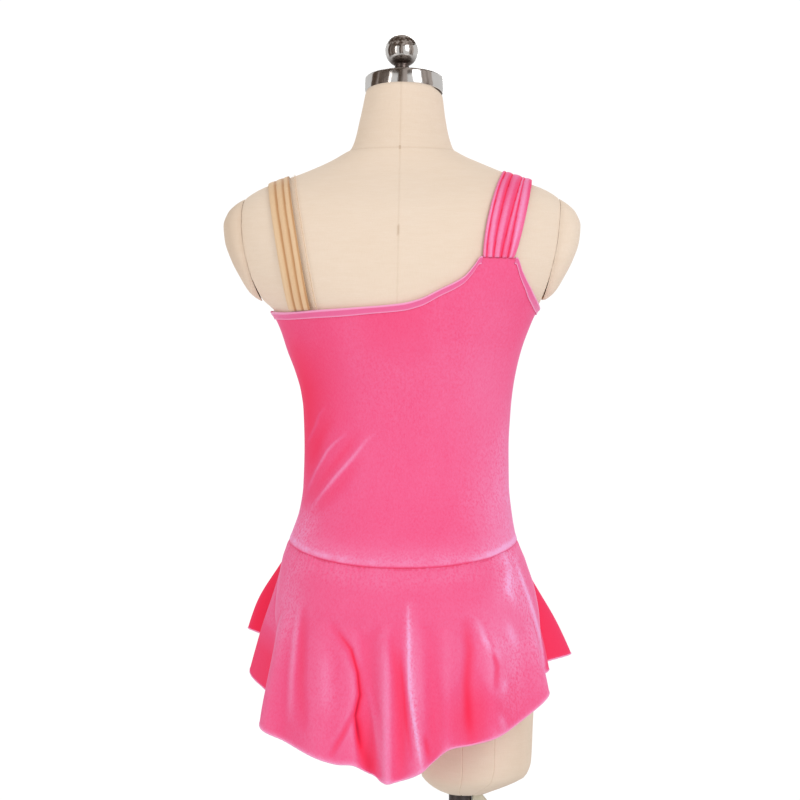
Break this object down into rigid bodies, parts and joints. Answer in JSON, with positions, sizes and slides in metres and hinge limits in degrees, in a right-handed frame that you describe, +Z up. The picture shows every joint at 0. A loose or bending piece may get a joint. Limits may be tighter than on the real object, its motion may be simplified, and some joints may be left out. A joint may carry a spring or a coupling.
{
  "type": "figure skating dress on dress form",
  "caption": "Sleeveless figure skating dress with a slanting neckline, two gathered straps and a fluted skirt, on a limbless dress form with a pole stand.",
  "frame": {"origin": "on the floor under the middle of the torso, on the base plate's flat underside", "axes": "+Z up, +Y the way the wearer faces, +X towards the wearer's right"},
  "size_m": [0.4228, 0.37, 1.3605],
  "materials": {
    "velvet": "stretch velvet with a soft sheen",
    "binding": "folded shiny knit strip",
    "nude_mesh": "gathered power mesh",
    "form_linen": "smooth unbleached linen",
    "chrome": "polished",
    "dark_paint": "semi-gloss dark grey",
    "cream_plastic": "matte cream"
  },
  "bodies": {
    "root": {"form_torso": "form_linen", "arm_cap_left": "form_linen", "arm_cap_right": "form_linen", "neck_plate": "chrome", "knob": "chrome", "base": "dark_paint", "pole_socket": "dark_paint", "pole": "dark_paint", "pole_lug": "cream_plastic", "bodice_back": "velvet", "bodice_front": "velvet", "skirt_back": "velvet", "skirt_front": "velvet", "brief_back": "velvet", "brief_front": "velvet", "strap_velvet": "velvet", "strap_mesh": "nude_mesh", "binding_neck_back": "binding", "binding_neck_front": "binding", "binding_armhole_back": "binding", "binding_armhole_front": "binding"}
  },
  "joints": []
}
